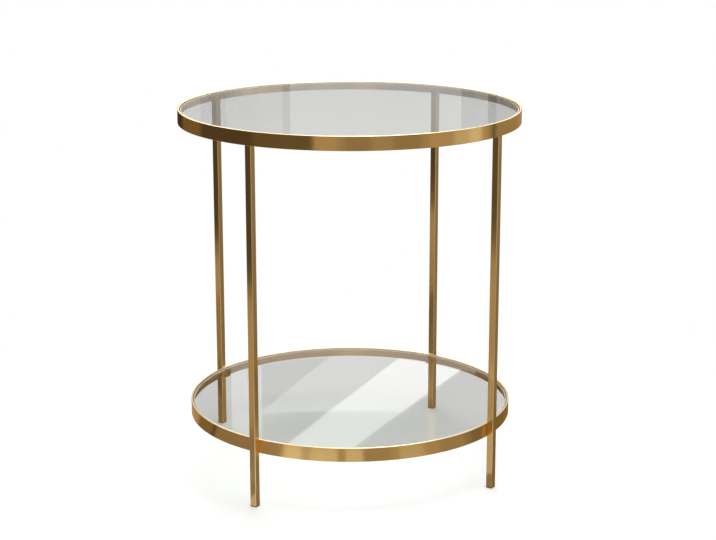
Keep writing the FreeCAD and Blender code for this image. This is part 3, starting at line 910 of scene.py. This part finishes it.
def beaded_block(length, width, bottom, top, outside, edge, bead):
    """A rest: a block with eased edges, and a small bead where it meets the hoop at radius outside."""
    near = outside - bead
    bm = block((outside - length, -width / 2, bottom), (near, width / 2, top))
    far = [e for e in bm.edges if any(abs(v.co.x - near) > SEAM for v in e.verts)]
    bevel(bm, far, edge, 3, "EDGES")
    bm.faces.ensure_lookup_table()
    lid = [max(bm.faces, key=lambda f: f.calc_center_median().x)]
    middle = (bottom + top) / 2
    steps = 4
    spread = 0.9 * bead
    for step in range(steps):
        before = math.pi / 2 * step / steps
        turned = math.pi / 2 * (step + 1) / steps
        out = bead * (math.sin(turned) - math.sin(before))
        flare = spread * (math.cos(before) - math.cos(turned))
        lid, verts = extruded(bm, lid, (out, 0.0, 0.0))
        for vert in verts:
            vert.co.y += math.copysign(flare, vert.co.y)
            if vert.co.z > middle:
                vert.co.z += flare
    return bm


def countersink(place, axis, length):
    """A cutter for a countersunk screw hole, its head's face at place and its hole along axis."""
    sizes = bpy.context.scene.side_table_sizes
    head = sizes.screw_head / 2 + HEAD_CLEARANCE
    hole = sizes.screw_diameter / 2 + HOLE_CLEARANCE
    neck = sizes.screw_land + head - hole
    above = 0.001
    outline = (
        (0.0, above),
        (head, above),
        (head, -sizes.screw_land),
        (hole, -neck),
        (hole, -length),
        (0.0, -length),
    )
    bm = spun(outline, 40)
    turn = Vector((0.0, 0.0, -1.0)).rotation_difference(Vector(axis)).to_matrix().to_4x4()
    move(bm, Matrix.Translation(place) @ turn)
    return bm


def make_rest(tier, corner):
    """A glass rest welded inside a hoop, with its countersunk screw hole."""
    sizes = bpy.context.scene.side_table_sizes
    node = f"{tier}_rest_{corner}"
    bottom, top = node_levels(node)
    outside = inner_radius(tier)
    length = sizes.rest_length if tier == "top" else sizes.shelf_rest_length
    bm = beaded_block(length, sizes.tube_side, bottom, top, outside, sizes.rest_edge, sizes.weld_bead)
    if tier == "top":
        place = (node_reach("top_bumper_" + corner), 0.0, top)
        cutter = countersink(place, axis=(0.0, 0.0, -1.0), length=0.012)
    else:
        place = (outside - length, 0.0, node_height("shelf_screws"))
        cutter = countersink(place, axis=(1.0, 0.0, 0.0), length=0.020)
    bm = combined(bm, cutter, "DIFFERENCE")
    move(bm, to_corner(corner))
    place_piece(bm, f"{node}_block", node, "Brass Filed Block")


def make_bumper(tier, corner):
    """A clear self-adhesive bumper between a rest and the glass, with a softly rounded edge."""
    node = f"{tier}_bumper_{corner}"
    bottom, top = node_levels(node)
    radius = bpy.context.scene.side_table_sizes.bumper_diameter / 2
    outline = ((0.0, bottom), (radius, bottom), (radius, top), (0.0, top))
    bm = spun(outline, 64, rounding=0.0003, rounded=(1, 2))
    move(bm, to_corner(corner, node_reach(node), 0.0, 0.0))
    place_piece(bm, f"{node}_dot", node, "Clear Silicone")


def make_bracket(corner):
    """A leg's bracket: a shank brazed in the tube's end, and a head that carries the rest."""
    sizes = bpy.context.scene.side_table_sizes
    node = "leg_bracket_" + corner
    reach = node_reach("leg_" + corner)
    bottom, top = node_levels(node)
    shoulder = node_levels("leg_" + corner)[1]
    outside = inner_radius("top")
    wide = sizes.tube_side / 2
    inside = outside - sizes.rest_length
    head = block((inside, -wide, shoulder), (outside, wide, top), edge=0.0002, segments=2)
    half = sizes.shank_side / 2
    overlap = 0.002
    shank = block((reach - half, -half, bottom), (reach + half, half, shoulder + overlap))
    bottom_edges = [e for e in shank.edges if all(abs(v.co.z - bottom) < SEAM for v in e.verts)]
    bevel(shank, bottom_edges, 0.0008, 1, "EDGES")
    ample = 0.02
    trim = block((outside, -ample, shoulder - 0.001), (outside + ample, ample, top + 0.01))
    shank = combined(shank, trim, "DIFFERENCE")
    bm = combined(head, shank, "UNION")
    start = (node_reach("top_bumper_" + corner), 0.0, top + 0.001)
    width = sizes.screw_diameter + 2 * HOLE_CLEARANCE
    bm = combined(bm, drill(start, depth=0.040, diameter=width, axis=(0.0, 0.0, -1.0)), "DIFFERENCE")
    move(bm, to_corner(corner))
    place_piece(bm, f"{node}_plug", node, "Brass Filed Block")


def make_bush(corner):
    """The threaded bush in a leg that the shelf screw goes into."""
    sizes = bpy.context.scene.side_table_sizes
    node = "leg_bush_" + corner
    bottom, top = node_levels(node)
    radius = (top - bottom) / 2
    bore = sizes.screw_diameter / 2 + HOLE_CLEARANCE
    length = sizes.bush_length
    outline = ((bore, 0.0), (radius, 0.0), (radius, length), (bore, length))
    bm = spun(outline, 48, rounding=0.0002, rounded=(1, 2), segments=2)
    lie = Matrix.Rotation(math.pi / 2, 4, "Y")
    move(bm, to_corner(corner, node_radius("shelf_hoop"), 0.0, node_height(node)) @ lie)
    place_piece(bm, f"{node}_sleeve", node, "Plated Steel")


# Studio


def card_material(tone):
    """A card's one flat tone in metal and in glass. It is clear to what looks through the glass."""
    name = f"card_{tone}"
    if name not in bpy.data.materials:
        tree = new_material(name)
        shown = put(tree, "Emission", {"Color": (*TONES[tone], 1.0), "Strength": 1.0})
        mirrored = work(tree, "GREATER_THAN", put(tree, "LightPath").outputs["Glossy Depth"], 0.5)
        show(tree, blend_shaders(tree, mirrored, put(tree, "BsdfTransparent"), shown))
    return bpy.data.materials[name]


def compass(degrees, radius, height):
    """A point round the table: 0 is its front, and 90 its right."""
    angle = math.radians(degrees)
    return (radius * math.sin(angle), -radius * math.cos(angle), height)


def make_card(name, start, end, near, far, tone, lean=0.0):
    """A card swept round the table between two angles from the line between two (radius, height) ends."""
    bm = bmesh.new()
    bm.edges.new([bm.verts.new(compass(start, *near)), bm.verts.new(compass(start + lean, *far))])
    sweep(bm, math.radians(end - start), max(1, round((end - start) / 3)))
    card = object_from(bm, name)
    card.data.materials.append(card_material(tone))
    card.visible_camera = False
    card.visible_diffuse = False
    card.visible_volume_scatter = False
    card.visible_shadow = False
    return card


def make_row(name, near, far, start, cards):
    """A row of cards, each from where the one before ends."""
    for i, (end, tone) in enumerate(cards):
        make_card(f"{name}_{i}", start, end, near, far, tone)
        start = end


def make_cards(studio):
    """The cards round the table, which give the brass and the glass something to mirror."""
    radius = studio.surround_radius
    for i, (bottom, top, start, cards) in enumerate(WALL_ROWS):
        make_row(f"wall_card_{i}", (radius, bottom), (radius, top), start, cards)
    for i, (near, far, start, cards) in enumerate(FLOOR_ROWS):
        make_row(f"floor_card_{i}", (near, FLOOR_CARD_HEIGHT), (far, FLOOR_CARD_HEIGHT), start, cards)
    radius -= CARD_GAP
    for i, (start, end, bottom, top, tone) in enumerate(SLANTING_LIGHT):
        angles = (start + SLANT * bottom, end + SLANT * bottom)
        lean = SLANT * (top - bottom)
        make_card(f"slanting_light_{i}", *angles, (radius, bottom), (radius, top), tone, lean)
    radius -= CARD_GAP
    angles = (ARCH_MIDDLE - ARCH_REACH, ARCH_MIDDLE + ARCH_REACH)
    arch = make_card("low_arch", *angles, (radius, ARCH_FOOT), (radius, ARCH_HEIGHT), "mist")
    for vertex in arch.data.vertices:
        if vertex.co.z > (ARCH_FOOT + ARCH_HEIGHT) / 2:
            aside = math.degrees(math.atan2(vertex.co.x, -vertex.co.y)) - ARCH_MIDDLE
            vertex.co.z += ARCH_RISE * aside**2


def looked_at(tree):
    """1 for what is seen, openly or through glass or in metal, and 0 for light on a matt surface."""
    path = put(tree, "LightPath")
    seen = work(tree, "MAXIMUM", path.outputs["Is Camera Ray"], path.outputs["Is Glossy Ray"])
    seen = work(tree, "MAXIMUM", seen, path.outputs["Is Transmission Ray"])
    direct = work(tree, "LESS_THAN", path.outputs["Diffuse Depth"], 0.5)
    return work(tree, "MULTIPLY", seen, direct)


def make_floor(studio):
    """A plain pale floor that keeps soft shadows and turns to plain white away from the table."""
    bm = bmesh.new()
    bmesh.ops.create_circle(bm, cap_ends=True, segments=96, radius=FLOOR_RADIUS)
    floor = object_from(bm, "floor")
    tree = new_material("Pale Floor")
    seen = looked_at(tree)
    through = put(tree, "LightPath").outputs["Is Transmission Ray"]
    level = remap(tree, through, 0.0, 1.0, FLOOR_GLOW, FLOOR_GLOW_THROUGH)
    glow = put(tree, "Emission", {"Strength": work(tree, "MULTIPLY", seen, level)})
    matt = put(tree, "BsdfDiffuse", {"Color": (*studio.floor, 1.0)})
    glowing = put(tree, "AddShader", {0: matt.outputs[0], 1: glow.outputs[0]})
    white = put(tree, "Emission", {"Strength": work(tree, "MAXIMUM", seen, studio.fill_light)})
    place = put(tree, "TexCoord").outputs["Object"]
    distance = put(tree, "VectorMath", {0: place}, operation="LENGTH").outputs["Value"]
    away = remap(tree, distance, *FLOOR_FADE, 0.0, 1.0, interpolation_type="SMOOTHSTEP")
    faded = blend_shaders(tree, away, glowing, white)
    below = put(tree, "NewGeometry").outputs["Backfacing"]
    show(tree, blend_shaders(tree, below, faded, put(tree, "BsdfTransparent")))
    floor.data.materials.append(bpy.data.materials["Pale Floor"])


def make_light(studio):
    """Soft light from all round and two soft lamps. What is looked at, or mirrored, is white."""
    world = bpy.data.worlds.new("Studio")
    bpy.context.scene.world = world
    world.use_nodes = True
    tree = world.node_tree
    tree.nodes.clear()
    soft = put(tree, "Background", {"Color": (1.0, 1.0, 1.0, 1.0), "Strength": studio.fill_light})
    white = put(tree, "Background", {"Color": (1.0, 1.0, 1.0, 1.0), "Strength": 1.0})
    show(tree, blend_shaders(tree, looked_at(tree), soft, white), "OutputWorld")
    for name, place, size, power in SOFTBOXES:
        make_softbox(name, place, size, getattr(studio, power))


def make_softbox(name, place, size, power):
    """A round soft lamp turned to the table, which shows only in metal and in the glass's shine."""
    lamp = bpy.data.lights.new(name, "AREA")
    lamp.shape = "DISK"
    lamp.size = size
    lamp.energy = power
    softbox = bpy.data.objects.new(name, lamp)
    bpy.context.scene.collection.objects.link(softbox)
    softbox.location = place
    softbox.rotation_euler = (Vector(LAMP_AIM) - softbox.location).to_track_quat("-Z", "Y").to_euler()
    softbox.visible_camera = False
    softbox.visible_transmission = False


def make_camera(studio):
    """The camera."""
    data = bpy.data.cameras.new("camera")
    data.sensor_fit = "HORIZONTAL"
    data.sensor_width = 36.0
    data.lens = studio.camera_lens
    camera = bpy.data.objects.new("camera", data)
    bpy.context.scene.collection.objects.link(camera)
    camera.location = studio.camera_place
    aim = Vector(studio.camera_aim) - Vector(studio.camera_place)
    camera.rotation_euler = aim.to_track_quat("-Z", "Y").to_euler()
    bpy.context.scene.camera = camera


# Operators


class SIDETABLE_OT_hoops(bpy.types.Operator):
    """Build the two brass hoops"""

    bl_idname = "side_table.hoops"
    bl_label = "Hoops"

    def execute(self, context):
        make_hoop("top_hoop_bar", "top_hoop")
        make_hoop("shelf_hoop_bar", "shelf_hoop")
        return {"FINISHED"}


class SIDETABLE_OT_legs(bpy.types.Operator):
    """Build the four square tube legs"""

    bl_idname = "side_table.legs"
    bl_label = "Legs"

    def execute(self, context):
        for corner in CORNERS:
            make_leg(corner)
        return {"FINISHED"}


class SIDETABLE_OT_feet(bpy.types.Operator):
    """Build the four moulded feet"""

    bl_idname = "side_table.feet"
    bl_label = "Feet"

    def execute(self, context):
        for corner in CORNERS:
            make_foot(corner)
        return {"FINISHED"}


class SIDETABLE_OT_brackets(bpy.types.Operator):
    """Build the four brackets in the tops of the legs"""

    bl_idname = "side_table.brackets"
    bl_label = "Leg brackets"

    def execute(self, context):
        for corner in CORNERS:
            make_bracket(corner)
        return {"FINISHED"}


class SIDETABLE_OT_bushes(bpy.types.Operator):
    """Build the four threaded bushes in the legs"""

    bl_idname = "side_table.bushes"
    bl_label = "Leg bushes"

    def execute(self, context):
        for corner in CORNERS:
            make_bush(corner)
        return {"FINISHED"}


class SIDETABLE_OT_rests(bpy.types.Operator):
    """Build the eight glass rests welded inside the hoops"""

    bl_idname = "side_table.rests"
    bl_label = "Glass rests"

    def execute(self, context):
        for tier in TIERS:
            for corner in CORNERS:
                make_rest(tier, corner)
        return {"FINISHED"}


class SIDETABLE_OT_bumpers(bpy.types.Operator):
    """Build the eight clear bumpers under the glass"""

    bl_idname = "side_table.bumpers"
    bl_label = "Bumpers"

    def execute(self, context):
        for tier in TIERS:
            for corner in CORNERS:
                make_bumper(tier, corner)
        return {"FINISHED"}


class SIDETABLE_OT_screws(bpy.types.Operator):
    """Build the eight countersunk screws"""

    bl_idname = "side_table.screws"
    bl_label = "Screws"

    def execute(self, context):
        make_top_screws()
        make_shelf_screws()
        return {"FINISHED"}


class SIDETABLE_OT_glass(bpy.types.Operator):
    """Build the two loose glass discs"""

    bl_idname = "side_table.glass"
    bl_label = "Glass discs"

    def execute(self, context):
        make_disc("top_glass_pane", "top_glass", TOP_BODY)
        make_disc("shelf_glass_pane", "shelf_glass", SHELF_BODY)
        return {"FINISHED"}


class SIDETABLE_OT_stage(bpy.types.Operator):
    """Set up the floor, the light, the reflection cards and the camera"""

    bl_idname = "side_table.stage"
    bl_label = "Stage"

    def execute(self, context):
        studio = context.scene.side_table_studio
        make_camera(studio)
        make_floor(studio)
        make_cards(studio)
        make_light(studio)
        context.scene.view_settings.view_transform = "Standard"
        return {"FINISHED"}


OPERATORS = (
    SIDETABLE_OT_hoops,
    SIDETABLE_OT_legs,
    SIDETABLE_OT_feet,
    SIDETABLE_OT_brackets,
    SIDETABLE_OT_bushes,
    SIDETABLE_OT_rests,
    SIDETABLE_OT_bumpers,
    SIDETABLE_OT_screws,
    SIDETABLE_OT_glass,
    SIDETABLE_OT_stage,
)


class SIDETABLE_PT_panel(bpy.types.Panel):
    """Lists the table's pieces, sizes and finishes"""

    bl_idname = "SIDETABLE_PT_panel"
    bl_label = "Tiered Side Table"
    bl_space_type = "VIEW_3D"
    bl_region_type = "UI"
    bl_category = "Side Table"

    def draw(self, context):
        layout = self.layout
        for operator in OPERATORS:
            layout.operator(operator.bl_idname)
        for group in ("side_table_sizes", "side_table_finishes", "side_table_studio"):
            settings = getattr(context.scene, group)
            box = layout.box()
            for name in settings.__annotations__:
                box.prop(settings, name)


CLASSES = (SideTableSizes, SideTableFinishes, SideTableStudio, *OPERATORS, SIDETABLE_PT_panel)


def register():
    """Registers the classes and gives the scene its settings."""
    for cls in CLASSES:
        bpy.utils.register_class(cls)
    bpy.types.Scene.side_table_sizes = bpy.props.PointerProperty(type=SideTableSizes)
    bpy.types.Scene.side_table_finishes = bpy.props.PointerProperty(type=SideTableFinishes)
    bpy.types.Scene.side_table_studio = bpy.props.PointerProperty(type=SideTableStudio)


def unregister():
    """Takes the settings and classes away again."""
    del bpy.types.Scene.side_table_studio
    del bpy.types.Scene.side_table_finishes
    del bpy.types.Scene.side_table_sizes
    for cls in reversed(CLASSES):
        bpy.utils.unregister_class(cls)


def main():
    """Builds the table and its stage."""
    register()
    bpy.ops.side_table.hoops()
    bpy.ops.side_table.legs()
    bpy.ops.side_table.feet()
    bpy.ops.side_table.brackets()
    bpy.ops.side_table.bushes()
    bpy.ops.side_table.rests()
    bpy.ops.side_table.bumpers()
    bpy.ops.side_table.screws()
    bpy.ops.side_table.glass()
    bpy.ops.side_table.stage()


if __name__ == "__main__":
    main()
